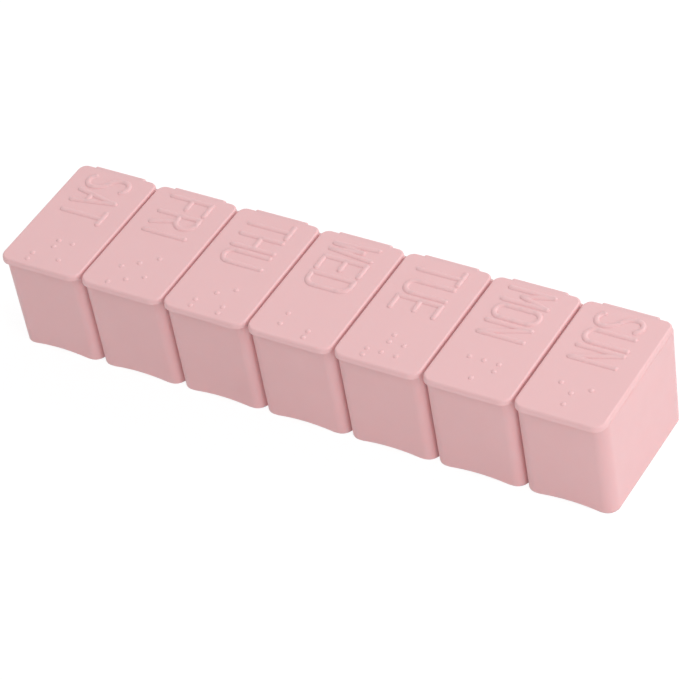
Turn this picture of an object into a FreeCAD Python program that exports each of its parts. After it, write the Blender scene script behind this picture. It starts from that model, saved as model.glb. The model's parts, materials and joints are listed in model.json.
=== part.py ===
import FreeCAD, Part
import math
import os
import Sketcher

# Weekly pill organizer: one moulded tray of seven cells in a row, and seven lids that flip up
# about one wire along the back edge, with raised day names and raised dots.
# Frame: +X along the row (Saturday at -X, Sunday at +X), +Y towards the hinge, +Z up.
# Origin: centre of the footprint, on the surface that the feet rest on.

DAYS = ("sat", "fri", "thu", "wed", "tue", "mon", "sun")
RIM_STEPS = 3

# Strokes of the capitals, as centre lines in a box from 0 to 1 across and up. A pair goes
# straight to a point, and four numbers go to a point by an arc through another one.
LETTERS = {
    "A": (((0, 0), (0.5, 1), (1, 0)), ((0.17, 0.34), (0.83, 0.34))),
    "D": (((0, 0), (0, 1)),
          ((0, 1), (0.45, 1), (0.86, 0.93, 1, 0.76), (1, 0.24), (0.86, 0.07, 0.45, 0), (0, 0))),
    "E": (((1, 1), (0, 1), (0, 0), (1, 0)), ((0, 0.52), (0.82, 0.52))),
    "F": (((1, 1), (0, 1), (0, 0)), ((0, 0.52), (0.82, 0.52))),
    "H": (((0, 0), (0, 1)), ((1, 0), (1, 1)), ((0, 0.5), (1, 0.5))),
    "I": (((0.3, 0), (0.3, 1)),),
    "M": (((0, 0), (0, 1), (0.5, 0.36), (1, 1), (1, 0)),),
    "N": (((0, 0), (0, 1), (1, 0), (1, 1)),),
    "O": (((0, 0.5), (0, 0.81), (0.5, 1, 1, 0.81), (1, 0.5)),
          ((1, 0.5), (1, 0.19), (0.5, 0, 0, 0.19), (0, 0.5))),
    "R": (((0, 0), (0, 1)), ((0, 1), (0.5, 1), (1, 0.76, 0.5, 0.52), (0, 0.52)),
          ((0.5, 0.52), (1, 0))),
    "S": (((0.92, 0.91), (0.5, 1, 0, 0.81), (0.13, 0.63, 0.5, 0.5), (0.87, 0.37, 1, 0.19),
           (0.5, 0, 0.08, 0.09)),),
    "T": (((0, 1), (1, 1)), ((0.5, 1), (0.5, 0))),
    "U": (((0, 1), (0, 0.19), (0.5, 0, 1, 0.19), (1, 1)),),
    "W": (((0, 1), (0.25, 0), (0.5, 0.72), (0.75, 0), (1, 1)),),
}

# Raised dots: a place across the lid, high, middle or low on the letters' side, and one of the
# columns, by its distance from the lip in millimetres.
DOT_ROWS = {"high": 3.6, "middle": -0.3, "low": -4.0}
DOT_COLUMNS = {"a": 14.0, "b": 11.0, "c": 8.5, "d": 7.0, "e": 4.7, "f": 2.4}
DOTS = {
    "sat": {"high": "be", "middle": "bc", "low": "ef"},
    "fri": {"high": "ad", "middle": "be", "low": "cf"},
    "thu": {"high": "bef", "middle": "c", "low": "ef"},
    "wed": {"high": "ef", "middle": "", "low": "ce"},
    "tue": {"high": "ce", "middle": "bce", "low": "ef"},
    "mon": {"high": "bc", "middle": "be", "low": "b"},
    "sun": {"high": "b", "middle": "ce", "low": "b"},
}

# Driving dimensions in millimetres: name, value, meaning.
SIZES = (
    ("cell_pitch", 23.5, "from one cell to the next"),
    ("end_inset", 0.4, "end wall inside the pitch line of the last cell"),
    ("overall_depth", 39.5, "lip of the lids to back of the hinge bead"),
    ("rim_height", 27.2, "feet to rim of the tray, where the lids rest"),
    ("lip_overhang", 1.4, "lids in front of the front wall at the rim"),
    ("front_draft", 0.75, "front wall further back at the feet than at the rim"),
    ("rear_draft", 0.95, "back wall further forward at the feet than at the rim"),
    ("corner_radius", 3.0, "upright corners of each cell, outside"),
    ("cavity_radius", 2.4, "upright corners of each cell, inside"),
    ("rim_round", 0.5, "rounding of the outer edge of the rim"),
    ("wall_thickness", 1.3, "front, back and end walls"),
    ("partition_thickness", 1.4, "wall between two cells"),
    ("floor_height", 2.2, "feet to floor of a cell"),
    ("floor_round", 1.0, "rounding between floor and walls of a cell"),
    ("arch_height", 0.7, "rise of the underside between the feet"),
    ("arch_width", 15.5, "width of that arch in one cell"),
    ("hinge_drop", 2.1, "hinge axis below the underside of the lids"),
    ("bead_radius", 1.75, "rolled bead along the back edge, around the wire"),
    ("bead_cover", 0.6, "back face to the web that carries the bead from cell to cell"),
    ("knuckle_radius", 1.4, "knuckle of a lid"),
    ("knuckle_length", 14.6, "knuckle and rear tab of a lid, along the wire"),
    ("knuckle_gap", 0.3, "play at each end of a knuckle"),
    ("notch_drop", 2.15, "floor of a knuckle notch below the hinge axis"),
    ("wire_diameter", 1.2, "hinge wire"),
    ("wire_clearance", 0.05, "radial running fit of the wire"),
    ("blind_wall", 0.6, "what closes the bore of the wire at the Sunday end"),
    ("lid_gap", 0.8, "between two lids"),
    ("lid_thickness", 1.5, "plate of a lid"),
    ("lid_front_radius", 3.0, "front corners of a lid"),
    ("lid_rear_radius", 2.3, "rear corners of a lid"),
    ("tab_step", 0.5, "rear tab behind the rear corners of a lid"),
    ("lid_round", 1.1, "rounding of the top edge of a lid"),
    ("skirt_depth", 2.0, "locating skirt under a lid"),
    ("skirt_thickness", 1.0, "wall of that skirt"),
    ("skirt_clearance", 0.25, "skirt to cell wall"),
    ("skirt_setback", 0.6, "rear end of the skirt to the rolled bead"),
    ("snap_height", 0.15, "snap rib proud of the front of the skirt"),
    ("snap_width", 0.8, "snap rib up the skirt"),
    ("snap_length", 9.0, "snap rib along the skirt"),
    ("relief", 0.35, "letters above a lid"),
    ("letter_height", 13.0, "capital letters"),
    ("letter_width", 5.7, "each of them"),
    ("letter_pitch", 6.05, "from one letter to the next"),
    ("letter_stroke", 1.4, "width of their strokes"),
    ("letter_foot", -6.9, "foot line of the letters from the middle of the lid"),
    ("word_margin", 2.6, "rear tab of a lid to its word"),
    ("dot_diameter", 1.4, "raised dots"),
    ("dot_relief", 0.25, "raised dots above a lid"),
    ("relief_root", 0.2, "letters and dots sunk in the plate"),
)

# Places that follow from them, as formulas of the sheet.
PLACES = (
    ("lip_front", "-overall_depth / 2"),
    ("back_rim", "overall_depth / 2 + rear_draft * hinge_drop / rim_height"),
    ("back_foot", "back_rim - rear_draft"),
    ("front_rim", "lip_front + lip_overhang"),
    ("front_foot", "front_rim + front_draft"),
    ("front_shoulder", "front_rim + front_draft * rim_round / rim_height"),
    ("back_shoulder", "back_rim - rear_draft * rim_round / rim_height"),
    ("floor_share", "floor_height / rim_height"),
    ("front_floor", "front_foot - front_draft * floor_share + wall_thickness"),
    ("back_floor", "back_foot + rear_draft * floor_share - wall_thickness"),
    ("axis_height", "rim_height - hinge_drop"),
    ("axis_back", "overall_depth / 2 - bead_radius"),
    ("bore_radius", "wire_diameter / 2 + wire_clearance"),
    ("row_half", "3.5 * cell_pitch - end_inset"),
    ("wire_end", "row_half - blind_wall"),
    ("wire_length", "wire_end + row_half"),
    ("lid_half", "(cell_pitch - lid_gap) / 2"),
    ("tab_back", "axis_back + knuckle_radius"),
    ("corner_back", "tab_back - tab_step"),
    ("tab_half", "knuckle_length / 2"),
    ("skirt_half", "cell_pitch / 2 - end_inset - wall_thickness - skirt_clearance"),
    ("skirt_front", "front_rim + wall_thickness + skirt_clearance"),
    ("skirt_back", "axis_back - bead_radius - skirt_setback"),
    ("lid_top", "rim_height + lid_thickness"),
)

DOC = FreeCAD.newDocument("PillOrganizer")
SHEET = DOC.addObject("Spreadsheet::Sheet", "Sizes")
NAMES = [entry[0] for entry in SIZES] + [entry[0] for entry in PLACES]
for row, entry in enumerate(SIZES + PLACES, start=1):
    content = str(entry[1]) if row <= len(SIZES) else "=" + entry[1]
    SHEET.set("A%d" % row, entry[0])
    SHEET.set("B%d" % row, content)
    SHEET.setAlias("B%d" % row, entry[0])
DOC.recompute()


def size(name):
    """Present value of one size or place, for shapes that the sheet can't drive."""
    return float(SHEET.get(name))


def bound(formula):
    """The formula with each size spelled out as Sizes.name, for setExpression."""
    words = []
    for word in formula.replace("(", "( ").replace(")", " )").split():
        negative = word.startswith("-") and len(word) > 1
        bare = word[1:] if negative else word
        spelled = "Sizes." + bare if bare in NAMES else bare
        words.append("-" + spelled if negative else spelled)
    return " ".join(words)


PROBE = DOC.addObject("App::FeaturePython", "Probe")
PROBE.addProperty("App::PropertyFloat", "Value")


def number(formula):
    """Present value of a formula of sizes."""
    PROBE.setExpression("Value", bound(formula))
    PROBE.recompute()
    return float(PROBE.Value)


def new_sketch(body, plane, name, level):
    """Empty sketch on an origin plane of the body, moved along the plane's normal to level."""
    sketch = body.newObject("Sketcher::SketchObject", name)
    datum = [feature for feature in body.Origin.OriginFeatures if feature.Role == plane][0]
    sketch.AttachmentSupport = [(datum, "")]
    sketch.MapMode = "FlatFace"
    sketch.setExpression("AttachmentOffset.Base.z", bound(level))
    return sketch


def bind(sketch, kind, parts, formula):
    """Adds a dimension to the sketch and ties its value to the sheet."""
    index = sketch.addConstraint(Sketcher.Constraint(kind, *parts, number(formula)))
    sketch.setExpression("Constraints[%d]" % index, bound(formula))


def outline(body, plane, name, corners, arcs=None, level="0"):
    """Closed sketch through corners that are each bound to the sheet.

    arcs maps the number of a side to (centre x, centre y, turn, bound coordinate). That side is
    an arc, and binding one coordinate of its centre settles the other.
    """
    arcs = arcs or {}
    sketch = new_sketch(body, plane, name, level)
    spots = [FreeCAD.Vector(number(across), number(up), 0) for across, up in corners]
    ends = []
    for side, start in enumerate(spots):
        finish = spots[(side + 1) % len(spots)]
        if side not in arcs:
            sketch.addGeometry(Part.LineSegment(start, finish))
            ends.append((1, 2))
            continue
        across, up, turn, _ = arcs[side]
        centre = FreeCAD.Vector(number(across), number(up), 0)
        first, last = (start, finish) if turn == "left" else (finish, start)
        circle = Part.Circle(centre, FreeCAD.Vector(0, 0, 1), (start - centre).Length)
        arc = Part.ArcOfCircle(circle, circle.parameter(first), circle.parameter(last))
        sketch.addGeometry(arc)
        ends.append((1, 2) if turn == "left" else (2, 1))
    for side, (across, up) in enumerate(corners):
        before = (side - 1) % len(corners)
        joint = (before, ends[before][1], side, ends[side][0])
        sketch.addConstraint(Sketcher.Constraint("Coincident", *joint))
        bind(sketch, "DistanceX", (-1, 1, side, ends[side][0]), across)
        bind(sketch, "DistanceY", (-1, 1, side, ends[side][0]), up)
    for side, (across, up, _, coordinate) in arcs.items():
        kind, formula = ("DistanceX", across) if coordinate == "x" else ("DistanceY", up)
        bind(sketch, kind, (-1, 1, side, 3), formula)
    return sketch


def ring(body, plane, name, across, up, radius, level="0"):
    """Sketch of one circle, bound to the sheet."""
    sketch = new_sketch(body, plane, name, level)
    centre = FreeCAD.Vector(number(across), number(up), 0)
    sketch.addGeometry(Part.Circle(centre, FreeCAD.Vector(0, 0, 1), number(radius)))
    bind(sketch, "Radius", (0,), radius)
    bind(sketch, "DistanceX", (-1, 1, 0, 3), across)
    bind(sketch, "DistanceY", (-1, 1, 0, 3), up)
    return sketch


def rounded_box(body, name, low_x, high_x, low_y, high_y, radius, level):
    """Level sketch of a rectangle with round corners."""
    radius = "( " + radius + " )"
    left = low_x + " + " + radius
    right = high_x + " - " + radius
    front = low_y + " + " + radius
    back = high_y + " - " + radius
    corners = (
        (left, low_y), (right, low_y), (high_x, front), (high_x, back),
        (right, high_y), (left, high_y), (low_x, back), (low_x, front))
    arcs = {
        1: (right, front, "left", "x"),
        3: (right, back, "left", "x"),
        5: (left, back, "left", "x"),
        7: (left, front, "left", "x")}
    return outline(body, "XY_Plane", name, corners, arcs, level)


def loft(body, name, foot, sections, cut=False):
    """Loft with straight sides from one sketch through the others."""
    kind = "PartDesign::SubtractiveLoft" if cut else "PartDesign::AdditiveLoft"
    feature = body.newObject(kind, name)
    feature.Profile = foot
    feature.Sections = sections
    feature.Ruled = True
    feature.Refine = False
    return feature


def pad(body, name, sketch, length, side="Symmetric", down=False):
    """Pad of a sketch: half to each side of it, or all to one side."""
    feature = body.newObject("PartDesign::Pad", name)
    feature.Profile = sketch
    feature.SideType = side
    feature.Reversed = down
    feature.setExpression("Length", bound(length))
    return feature


def pocket(body, name, sketch, length, side="Symmetric", up=False):
    """Pocket of a sketch, checked to have taken something away."""
    DOC.recompute()
    before = body.Shape.Volume
    feature = body.newObject("PartDesign::Pocket", name)
    feature.Profile = sketch
    feature.SideType = side
    feature.Reversed = up
    feature.setExpression("Length", bound(length))
    DOC.recompute()
    if not body.Shape.Volume < before - 0.01:
        raise RuntimeError(name + " cuts nothing")
    return feature


def round_edges(body, name, feature, level, radius):
    """Rounds the edges of a feature that lie flat at one level."""
    DOC.recompute()
    height = number(level)
    edges = []
    for place, edge in enumerate(feature.Shape.Edges, start=1):
        box = edge.BoundBox
        if abs(box.ZMin - height) < 0.001 and abs(box.ZMax - height) < 0.001:
            edges.append("Edge%d" % place)
    rounding = body.newObject("PartDesign::Fillet", name)
    rounding.Base = (feature, edges)
    rounding.setExpression("Radius", bound(radius))
    return rounding


def along_row(body, name, feature):
    """Repeats a feature of the Saturday cell in the other cells."""
    pattern = body.newObject("PartDesign::LinearPattern", name)
    pattern.Originals = [feature]
    axis = [entry for entry in body.Origin.OriginFeatures if entry.Role == "X_Axis"][0]
    pattern.Direction = (axis, [""])
    pattern.setExpression("Length", bound("%d * cell_pitch" % (len(DAYS) - 1)))
    pattern.Occurrences = len(DAYS)
    body.Tip = pattern
    DOC.recompute()
    return pattern


def cell_sides(index, wall):
    """Formulas of the left and right side of a cell, each set in by a wall if asked."""
    low = "%.1f * cell_pitch" % (index - len(DAYS) / 2)
    high = "%.1f * cell_pitch" % (index + 1 - len(DAYS) / 2)
    first = index == 0
    last = index == len(DAYS) - 1
    if first:
        low += " + end_inset"
    if last:
        high += " - end_inset"
    if wall:
        low += " + wall_thickness" if first else " + partition_thickness / 2"
        high += " - wall_thickness" if last else " - partition_thickness / 2"
    return low, high


def rim_steps(body, index, day):
    """Sketches of a cell from the shoulder to the rim, stepping round its outer edge."""
    low, high = cell_sides(index, wall=False)
    sketches = []
    for turn in range(RIM_STEPS + 1):
        angle = math.pi / 2 * turn / RIM_STEPS
        inset = "%.6f * rim_round" % (1 - math.cos(angle))
        level = "rim_height - %.6f * rim_round" % (1 - math.sin(angle))
        sketches.append(rounded_box(
            body, "%s_rim_%d" % (day, turn),
            low + " + " + inset if index == 0 else low,
            high + " - " + inset if index == len(DAYS) - 1 else high,
            "front_shoulder + " + inset, "back_shoulder - " + inset,
            "corner_radius - " + inset, level))
    return sketches


def make_tray():
    """Tray: seven round-cornered cells in a row, with the hinge bead along the back."""
    body = DOC.addObject("PartDesign::Body", "tray")
    for index, day in enumerate(DAYS):
        low, high = cell_sides(index, wall=False)
        foot = rounded_box(
            body, day + "_foot", low, high, "front_foot", "back_foot", "corner_radius", "0")
        loft(body, day + "_cell", foot, rim_steps(body, index, day))
    for index, day in enumerate(DAYS):
        low, high = cell_sides(index, wall=True)
        floor = rounded_box(
            body, day + "_floor", low, high, "front_floor", "back_floor",
            "cavity_radius", "floor_height")
        mouth = rounded_box(
            body, day + "_mouth", low, high, "front_rim + wall_thickness",
            "back_rim - wall_thickness", "cavity_radius", "rim_height")
        cavity = loft(body, day + "_cavity", floor, [mouth], cut=True)
    round_edges(body, "floor_edge", cavity, "floor_height", "floor_round")

    crown = "axis_height + bead_radius"
    spare = "rim_height + lid_thickness"
    beyond = "back_rim + wall_thickness"
    above = outline(
        body, "YZ_Plane", "bead_back_profile",
        (("axis_back", spare), ("axis_back", crown), ("axis_back + bead_radius", "axis_height"),
         (beyond, "axis_height"), (beyond, spare)),
        {1: ("axis_back", "axis_height", "right", "x")})
    pocket(body, "bead_back", above, "2 * row_half + lid_gap")
    web_back = "axis_back + bead_radius - bead_cover"
    low_side = "axis_height - bead_radius"
    front = outline(
        body, "YZ_Plane", "bead_front_profile",
        (("axis_back", crown), ("axis_back - bead_radius", "axis_height"),
         ("axis_back", low_side), (web_back, low_side), (web_back, "axis_height + bead_radius / 2")),
        {0: ("axis_back", "axis_height", "left", "x"),
         1: ("axis_back", "axis_height", "left", "x")})
    pad(body, "bead_front", front, "2 * ( row_half - wall_thickness )")

    cell = "-%d * cell_pitch" % (len(DAYS) // 2)
    left = cell + " - tab_half - knuckle_gap"
    right = cell + " + tab_half + knuckle_gap"
    near = "axis_back - bead_radius - skirt_setback"
    notch = outline(
        body, "XY_Plane", "notch_plan",
        ((left, near), (right, near), (right, beyond), (left, beyond)),
        level="axis_height - notch_drop")
    cut = pocket(body, "notch", notch, "rim_height", side="One side", up=True)
    along_row(body, "notches", cut)

    left = cell + " - arch_width / 2"
    right = cell + " + arch_width / 2"
    below = "-1 * floor_height"
    centre = "arch_height / 2 - arch_width * arch_width / ( 8 * arch_height )"
    arch = outline(
        body, "XZ_Plane", "arch_profile",
        ((left, below), (right, below), (right, "0"), (left, "0")),
        {2: (cell, centre, "left", "y")})
    cut = pocket(body, "arch", arch, "2 * overall_depth")
    along_row(body, "arches", cut)

    bore = ring(body, "YZ_Plane", "bore_end", "axis_back", "axis_height", "bore_radius", "wire_end")
    pocket(body, "bore", bore, "wire_length + lid_gap", side="One side")
    return body


def make_wire():
    """Hinge wire: one straight rod through the bead and every knuckle."""
    rod = DOC.addObject("Part::Cylinder", "hinge_wire")
    rod.setExpression("Radius", bound("wire_diameter / 2"))
    rod.setExpression("Height", bound("wire_length"))
    rod.Placement.Rotation = FreeCAD.Rotation(FreeCAD.Vector(0, 1, 0), 90)
    rod.setExpression("Placement.Base.x", bound("-1 * row_half"))
    rod.setExpression("Placement.Base.y", bound("axis_back"))
    rod.setExpression("Placement.Base.z", bound("axis_height"))
    return rod


def make_lid_blank(name):
    """Plain lid about the middle of its cell: plate with lip, rear tab, knuckle and skirt."""
    body = DOC.addObject("PartDesign::Body", name + "_blank")
    right, left = "lid_half", "-lid_half"
    front = "lip_front + lid_front_radius"
    back = "corner_back - lid_rear_radius"
    front_in = "lid_half - lid_front_radius"
    front_out = "lid_front_radius - lid_half"
    back_in = "lid_half - lid_rear_radius"
    back_out = "lid_rear_radius - lid_half"
    plan = outline(
        body, "XY_Plane", name + "_plan",
        ((front_out, "lip_front"), (front_in, "lip_front"), (right, front), (right, back),
         (back_in, "corner_back"), (back_out, "corner_back"), (left, back), (left, front)),
        {1: (front_in, front, "left", "x"), 3: (back_in, back, "left", "x"),
         5: (back_out, back, "left", "x"), 7: (front_out, front, "left", "x")},
        level="rim_height")
    plate = pad(body, name + "_plate", plan, "lid_thickness", side="One side")
    round_edges(body, name + "_top_edge", plate, "lid_top", "lid_round")

    hoop = outline(
        body, "YZ_Plane", name + "_knuckle_profile",
        (("tab_back", "lid_top - lid_round"), ("tab_back", "axis_height"),
         ("axis_back - knuckle_radius", "axis_height"), ("axis_back - knuckle_radius", "lid_top"),
         ("tab_back - lid_round", "lid_top")),
        {1: ("axis_back", "axis_height", "right", "y"),
         4: ("tab_back - lid_round", "lid_top - lid_round", "right", "x")})
    pad(body, name + "_knuckle", hoop, "knuckle_length")

    bend = "cavity_radius - skirt_clearance"
    turn_x = "skirt_half - " + bend.replace("-", "+")
    turn_y = "skirt_front + " + bend
    wall_x = "skirt_half - skirt_thickness"
    wall_y = "skirt_front + skirt_thickness"
    mirror_x = "-1 * ( " + turn_x + " )"
    mirror_wall = "-1 * ( " + wall_x + " )"
    skirt = outline(
        body, "XY_Plane", name + "_skirt_plan",
        ((mirror_x, "skirt_front"), (turn_x, "skirt_front"), ("skirt_half", turn_y),
         ("skirt_half", "skirt_back"), (wall_x, "skirt_back"), (wall_x, turn_y),
         (turn_x, wall_y), (mirror_x, wall_y), (mirror_wall, turn_y),
         (mirror_wall, "skirt_back"), ("-skirt_half", "skirt_back"), ("-skirt_half", turn_y)),
        {1: (turn_x, turn_y, "left", "x"), 5: (turn_x, turn_y, "right", "x"),
         7: (mirror_x, turn_y, "right", "x"), 11: (mirror_x, turn_y, "left", "x")},
        level="rim_height")
    pad(body, name + "_skirt", skirt, "skirt_depth", side="One side", down=True)

    middle = "rim_height - skirt_depth / 2"
    rib = outline(
        body, "YZ_Plane", name + "_snap_profile",
        (("skirt_front + snap_height", middle + " - snap_width / 2"),
         ("skirt_front + snap_height", middle + " + snap_width / 2"),
         ("skirt_front", middle + " + snap_width / 2"),
         ("skirt_front - snap_height", middle),
         ("skirt_front", middle + " - snap_width / 2")))
    pad(body, name + "_snap", rib, "snap_length")

    bore = ring(body, "YZ_Plane", name + "_bore_end", "axis_back", "axis_height", "bore_radius")
    pocket(body, name + "_bore", bore, "2 * knuckle_length")
    return body


def straight_band(start, finish, half):
    """Outline of a straight stroke with round ends."""
    along = (finish - start).normalize() * half
    aside = FreeCAD.Vector(-along.y, along.x, 0)
    edges = (
        Part.LineSegment(start - aside, finish - aside),
        Part.Arc(finish - aside, finish + along, finish + aside),
        Part.LineSegment(finish + aside, start + aside),
        Part.Arc(start + aside, start - along, start - aside))
    return Part.Wire([edge.toShape() for edge in edges])


def stroke_solid(points, corner):
    """Raised stroke along a centre line, with round ends.

    A word reads towards the lip, so across runs along -Y and up runs along +X.
    """
    stroke = size("letter_stroke")
    span = size("letter_width") - stroke
    rise = size("letter_height") - stroke

    def place(across, up):
        return corner + FreeCAD.Vector(stroke / 2 + up * rise, -stroke / 2 - across * span, 0)

    edges = []
    here = place(*points[0])
    for step in points[1:]:
        there = place(*step[-2:])
        if len(step) == 2:
            edges.append(Part.LineSegment(here, there).toShape())
        else:
            edges.append(Part.Arc(here, place(*step[:2]), there).toShape())
        here = there
    if len(points) == 2 and len(points[1]) == 2:
        band = straight_band(place(*points[0]), place(*points[1]), stroke / 2)
    else:
        band = Part.Wire(edges).makeOffset2D(stroke / 2)
    return Part.Face(band).extrude(FreeCAD.Vector(0, 0, size("relief") + size("relief_root")))


def make_word(day):
    """Raised day name of a lid, about the middle of its cell."""
    level = size("lid_top") - size("relief_root")
    parts = []
    for place, letter in enumerate(day.upper()):
        back = size("tab_back") - size("word_margin") - place * size("letter_pitch")
        corner = FreeCAD.Vector(size("letter_foot"), back, level)
        for points in LETTERS[letter]:
            parts.append(stroke_solid(points, corner))
    return parts


def make_dots(day):
    """Raised dots of a lid: flat caps of a sphere."""
    half = size("dot_diameter") / 2
    rise = size("dot_relief")
    ball = (half * half + rise * rise) / (2 * rise)
    parts = []
    for row, columns in DOTS[day].items():
        for column in columns:
            spot = FreeCAD.Vector(
                DOT_ROWS[row], size("lip_front") + DOT_COLUMNS[column], size("lid_top") + rise - ball)
            below = ball - rise - size("relief_root")
            base = math.degrees(math.asin(below / ball))
            parts.append(Part.makeSphere(ball, spot, FreeCAD.Vector(0, 0, 1), base, 90))
    return parts


def make_lid(index, day):
    """Lid of one day: its blank with the raised name and dots, standing over its cell."""
    name = "lid_" + day
    blank = make_lid_blank(name)
    relief = DOC.addObject("Part::Feature", name + "_relief")
    pieces = make_word(day) + make_dots(day)
    relief.Shape = pieces[0].multiFuse(pieces[1:])
    lid = DOC.addObject("Part::MultiFuse", name)
    lid.Shapes = [blank, relief]
    lid.Refine = True
    lid.setExpression("Placement.Base.x", bound("%d * cell_pitch" % (index - len(DAYS) // 2)))
    return lid


def check(nodes):
    """Stops if an object failed or if a node is not one valid solid."""
    for item in DOC.Objects:
        if "Invalid" in item.State or "Error" in item.State:
            raise RuntimeError("%s: %s" % (item.Label, item.State))
    for node in nodes:
        shape = node.Shape
        if shape.isNull() or not shape.isValid() or len(shape.Solids) != 1:
            raise RuntimeError(node.Label + " is not one valid solid")


NODES = [make_tray(), make_wire()]
for place, day in enumerate(DAYS):
    NODES.append(make_lid(place, day))
DOC.recompute()
check(NODES)
os.makedirs("parts", exist_ok=True)
for node in NODES:
    node.Shape.exportStep("parts/%s.step" % node.Label)
    box = node.Shape.BoundBox
    print("%-12s %8.1f mm3  x %.2f..%.2f  y %.2f..%.2f  z %.2f..%.2f" % (
        node.Label, node.Shape.Volume, box.XMin, box.XMax, box.YMin, box.YMax, box.ZMin, box.ZMax))
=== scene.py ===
import json
import math

import bmesh
import bpy
from bpy.props import FloatProperty, FloatVectorProperty, PointerProperty
from mathutils import Matrix, Vector


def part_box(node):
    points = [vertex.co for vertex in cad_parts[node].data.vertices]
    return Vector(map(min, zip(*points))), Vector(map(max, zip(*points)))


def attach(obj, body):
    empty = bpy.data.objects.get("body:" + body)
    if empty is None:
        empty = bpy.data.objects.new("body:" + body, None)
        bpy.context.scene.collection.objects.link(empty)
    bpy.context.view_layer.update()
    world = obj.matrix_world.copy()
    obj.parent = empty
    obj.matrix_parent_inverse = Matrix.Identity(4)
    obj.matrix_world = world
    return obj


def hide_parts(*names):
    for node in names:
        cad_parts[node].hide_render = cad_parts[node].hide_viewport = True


bl_info = {
    "name": "Weekly Pill Organizer",
    "version": (1, 0, 0),
    "blender": (4, 5, 0),
    "location": "View3D > Sidebar > Pill Organizer",
    "description": "Dresses seven pill cells with flip-up lids in soft-edged matte plastic",
    "category": "Object",
}

DAYS = ("sat", "fri", "thu", "wed", "tue", "mon", "sun")
MM = 0.001

# How many straight steps stand for a curve.
ARC_STEPS = 10
TOP_STEPS = 5
LOW_STEPS = 3
RIB_STEPS = 4
TAB_STEPS = 4
HOOP_STEPS = 12
SECTION_STEPS = 24
DOME_SEGMENTS = 24
DOME_RINGS = 12

SHARP_EDGE = math.radians(40)
SAME_SPOT = 0.01 * MM
NOISE_LOW, NOISE_HIGH = 0.3, 0.7
CLOUD_DETAIL, GRAIN_DETAIL = 3, 4
WHITE = (1, 1, 1, 1)
SENSOR_WIDTH = 36  # millimetres

# Strokes of the capitals, as centre lines in a box from 0 to 1 across and up. A pair goes
# straight to a point, and four numbers go to a point by an arc through another one.
LETTERS = {
    "A": (((0, 0), (0.5, 1), (1, 0)), ((0.17, 0.34), (0.83, 0.34))),
    "D": (((0, 0), (0, 1)),
          ((0, 1), (0.45, 1), (0.86, 0.93, 1, 0.76), (1, 0.24), (0.86, 0.07, 0.45, 0), (0, 0))),
    "E": (((1, 1), (0, 1), (0, 0), (1, 0)), ((0, 0.52), (0.82, 0.52))),
    "F": (((1, 1), (0, 1), (0, 0)), ((0, 0.52), (0.82, 0.52))),
    "H": (((0, 0), (0, 1)), ((1, 0), (1, 1)), ((0, 0.5), (1, 0.5))),
    "I": (((0.3, 0), (0.3, 1)),),
    "M": (((0, 0), (0, 1), (0.5, 0.36), (1, 1), (1, 0)),),
    "N": (((0, 0), (0, 1), (1, 0), (1, 1)),),
    "O": (((0, 0.5), (0, 0.81), (0.5, 1, 1, 0.81), (1, 0.5)),
          ((1, 0.5), (1, 0.19), (0.5, 0, 0, 0.19), (0, 0.5))),
    "R": (((0, 0), (0, 1)), ((0, 1), (0.5, 1), (1, 0.76, 0.5, 0.52), (0, 0.52)),
          ((0.5, 0.52), (1, 0))),
    "S": (((0.92, 0.91), (0.5, 1, 0, 0.81), (0.13, 0.63, 0.5, 0.5), (0.87, 0.37, 1, 0.19),
           (0.5, 0, 0.08, 0.09)),),
    "T": (((0, 1), (1, 1)), ((0.5, 1), (0.5, 0))),
    "U": (((0, 1), (0, 0.19), (0.5, 0, 1, 0.19), (1, 1)),),
    "W": (((0, 1), (0.25, 0), (0.5, 0.72), (0.75, 0), (1, 1)),),
}

# Raised dots: a place across the lid, high, middle or low on the letters' side, and one of the
# columns, by its distance from the lip in millimetres.
DOT_ROWS = {"high": 3.6, "middle": -0.3, "low": -4.0}
DOT_COLUMNS = {"a": 14.0, "b": 11.0, "c": 8.5, "d": 7.0, "e": 4.7, "f": 2.4}
DOTS = {
    "sat": {"high": "be", "middle": "bc", "low": "ef"},
    "fri": {"high": "ad", "middle": "be", "low": "cf"},
    "thu": {"high": "bef", "middle": "c", "low": "ef"},
    "wed": {"high": "ef", "middle": "", "low": "ce"},
    "tue": {"high": "ce", "middle": "bce", "low": "ef"},
    "mon": {"high": "bc", "middle": "be", "low": "b"},
    "sun": {"high": "b", "middle": "ce", "low": "b"},
}

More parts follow.
